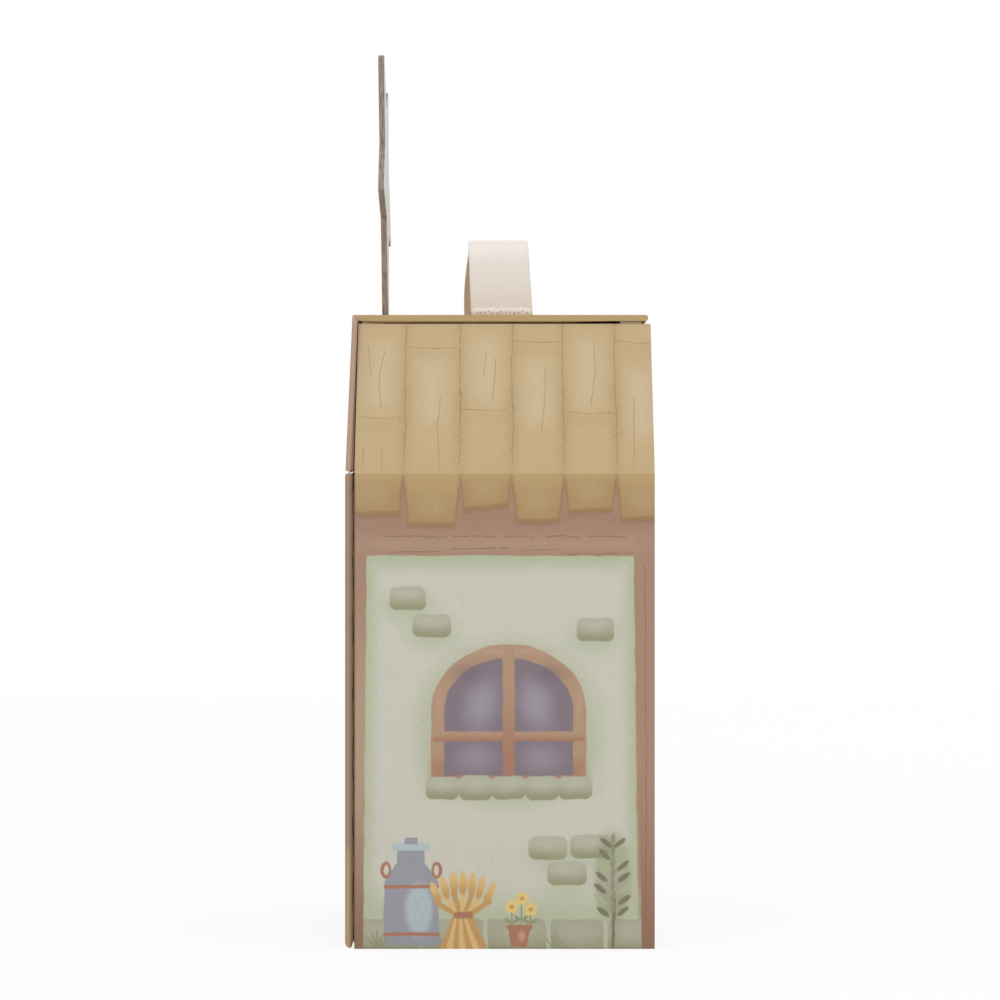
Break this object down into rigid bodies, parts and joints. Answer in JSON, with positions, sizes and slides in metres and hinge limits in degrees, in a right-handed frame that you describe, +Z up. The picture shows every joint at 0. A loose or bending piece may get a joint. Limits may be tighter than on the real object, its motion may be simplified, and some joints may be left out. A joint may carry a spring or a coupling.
{
  "type": "toy nativity set in a carry case",
  "caption": "Stable-shaped card carry case with a webbing handle, folding door, lid and gable flap and a lift-out star, holding carved wooden nativity figures.",
  "frame": {"origin": "middle of the footprint at the table", "axes": "+Z up, the door faces -Y, the case is widest along X"},
  "size_m": [0.22, 0.129, 0.3807],
  "materials": {
    "printed_card": "printed paper over greyboard, matt laminated",
    "lining_card": "plain lined board",
    "hinge_paper": "plain paper",
    "magnet": "nickel plated",
    "webbing": "cotton twill webbing",
    "grey_board": "raw die-cut edge",
    "star_front_print": "printed paper, matt",
    "star_back_print": "plain pale paper",
    "painted_wood_father_figure": "painted wood, satin, bare sawn edges",
    "painted_wood_mother_figure": "painted wood, satin, bare sawn edges",
    "painted_wood_shepherd_figure": "painted wood, satin, bare sawn edges",
    "painted_wood_king_a_figure": "painted wood, satin, bare sawn edges",
    "painted_wood_king_b_figure": "painted wood, satin, bare sawn edges",
    "painted_wood_king_c_figure": "painted wood, satin, bare sawn edges",
    "painted_wood_manger": "painted wood, satin, bare sawn edges",
    "painted_wood_infant": "painted wood, satin, bare sawn edges",
    "painted_wood_ox": "painted wood, satin, bare sawn edges",
    "painted_wood_donkey": "painted wood, satin, bare sawn edges",
    "painted_wood_sheep_a": "painted wood, satin, bare sawn edges",
    "painted_wood_sheep_b": "painted wood, satin, bare sawn edges"
  },
  "bodies": {
    "case": {"base_board": "lining_card", "rear_wall": "printed_card", "frame_magnets": "magnet", "lid_stops": "lining_card", "base_hinge_leaf": "hinge_paper", "rear_hinge_leaf": "hinge_paper", "side_wall_right": "printed_card", "side_wall_left": "printed_card", "roof_slope_right": "printed_card", "roof_slope_left": "printed_card", "front_frame_right": "lining_card", "front_frame_left": "lining_card", "gable_frame_right": "lining_card", "gable_frame_left": "lining_card", "lid_ledge_right": "lining_card", "lid_ledge_left": "lining_card"},
    "front_door": {"front_door": "printed_card", "door_magnets": "magnet", "door_hinge_leaf": "hinge_paper"},
    "top_lid": {"top_board": "printed_card", "lid_hinge_leaf": "hinge_paper", "carry_handle": "webbing", "handle_patch": "lining_card"},
    "gable_flap": {"gable_flap": "printed_card", "flap_magnets": "magnet"},
    "star": {"star_core": "grey_board", "star_front_paper": "star_front_print", "star_back_paper": "star_back_print"},
    "father_figure": {"father_figure": "painted_wood_father_figure"},
    "mother_figure": {"mother_figure": "painted_wood_mother_figure"},
    "shepherd_figure": {"shepherd_figure": "painted_wood_shepherd_figure"},
    "king_a_figure": {"king_a_figure": "painted_wood_king_a_figure"},
    "king_b_figure": {"king_b_figure": "painted_wood_king_b_figure"},
    "king_c_figure": {"king_c_figure": "painted_wood_king_c_figure"},
    "manger": {"manger": "painted_wood_manger"},
    "infant": {"infant": "painted_wood_infant"},
    "ox": {"ox": "painted_wood_ox"},
    "donkey": {"donkey": "painted_wood_donkey"},
    "sheep_a": {"sheep_a": "painted_wood_sheep_a"},
    "sheep_b": {"sheep_b": "painted_wood_sheep_b"}
  },
  "joints": [
    {"name": "front_door_fold", "type": "hinge", "parent": "case", "child": "front_door", "pos_m": [0, -0.0645, 0], "axis": [1, 0, 0], "range_deg": [0, 90]},
    {"name": "lid_fold", "type": "hinge", "parent": "case", "child": "top_lid", "pos_m": [0, 0.0635, 0.2632], "axis": [-1, 0, 0], "range_deg": [0, 110]},
    {"name": "gable_flap_fold", "type": "hinge", "parent": "top_lid", "child": "gable_flap", "pos_m": [0, -0.0632, 0.2663], "axis": [-1, 0, 0], "range_deg": [0, 170]},
    {"name": "star_lift", "type": "slide", "parent": "top_lid", "child": "star", "axis": [0, -0.014, 0.9999], "range_m": [0, 0.03]},
    {"name": "father_figure_lift", "type": "slide", "parent": "case", "child": "father_figure", "axis": [0, 0, 1], "range_m": [0, 0.05]},
    {"name": "mother_figure_lift", "type": "slide", "parent": "case", "child": "mother_figure", "axis": [0, 0, 1], "range_m": [0, 0.05]},
    {"name": "shepherd_figure_lift", "type": "slide", "parent": "case", "child": "shepherd_figure", "axis": [0, 0, 1], "range_m": [0, 0.05]},
    {"name": "king_a_figure_lift", "type": "slide", "parent": "case", "child": "king_a_figure", "axis": [0, 0, 1], "range_m": [0, 0.05]},
    {"name": "king_b_figure_lift", "type": "slide", "parent": "case", "child": "king_b_figure", "axis": [0, 0, 1], "range_m": [0, 0.05]},
    {"name": "king_c_figure_lift", "type": "slide", "parent": "case", "child": "king_c_figure", "axis": [0, 0, 1], "range_m": [0, 0.05]},
    {"name": "manger_lift", "type": "slide", "parent": "case", "child": "manger", "axis": [0, 0, 1], "range_m": [0, 0.05]},
    {"name": "infant_lift", "type": "slide", "parent": "manger", "child": "infant", "axis": [0, 0, 1], "range_m": [0, 0.04]},
    {"name": "ox_lift", "type": "slide", "parent": "case", "child": "ox", "axis": [0, 0, 1], "range_m": [0, 0.05]},
    {"name": "donkey_lift", "type": "slide", "parent": "case", "child": "donkey", "axis": [0, 0, 1], "range_m": [0, 0.05]},
    {"name": "sheep_a_lift", "type": "slide", "parent": "case", "child": "sheep_a", "axis": [0, 0, 1], "range_m": [0, 0.05]},
    {"name": "sheep_b_lift", "type": "slide", "parent": "case", "child": "sheep_b", "axis": [0, 0, 1], "range_m": [0, 0.05]}
  ]
}
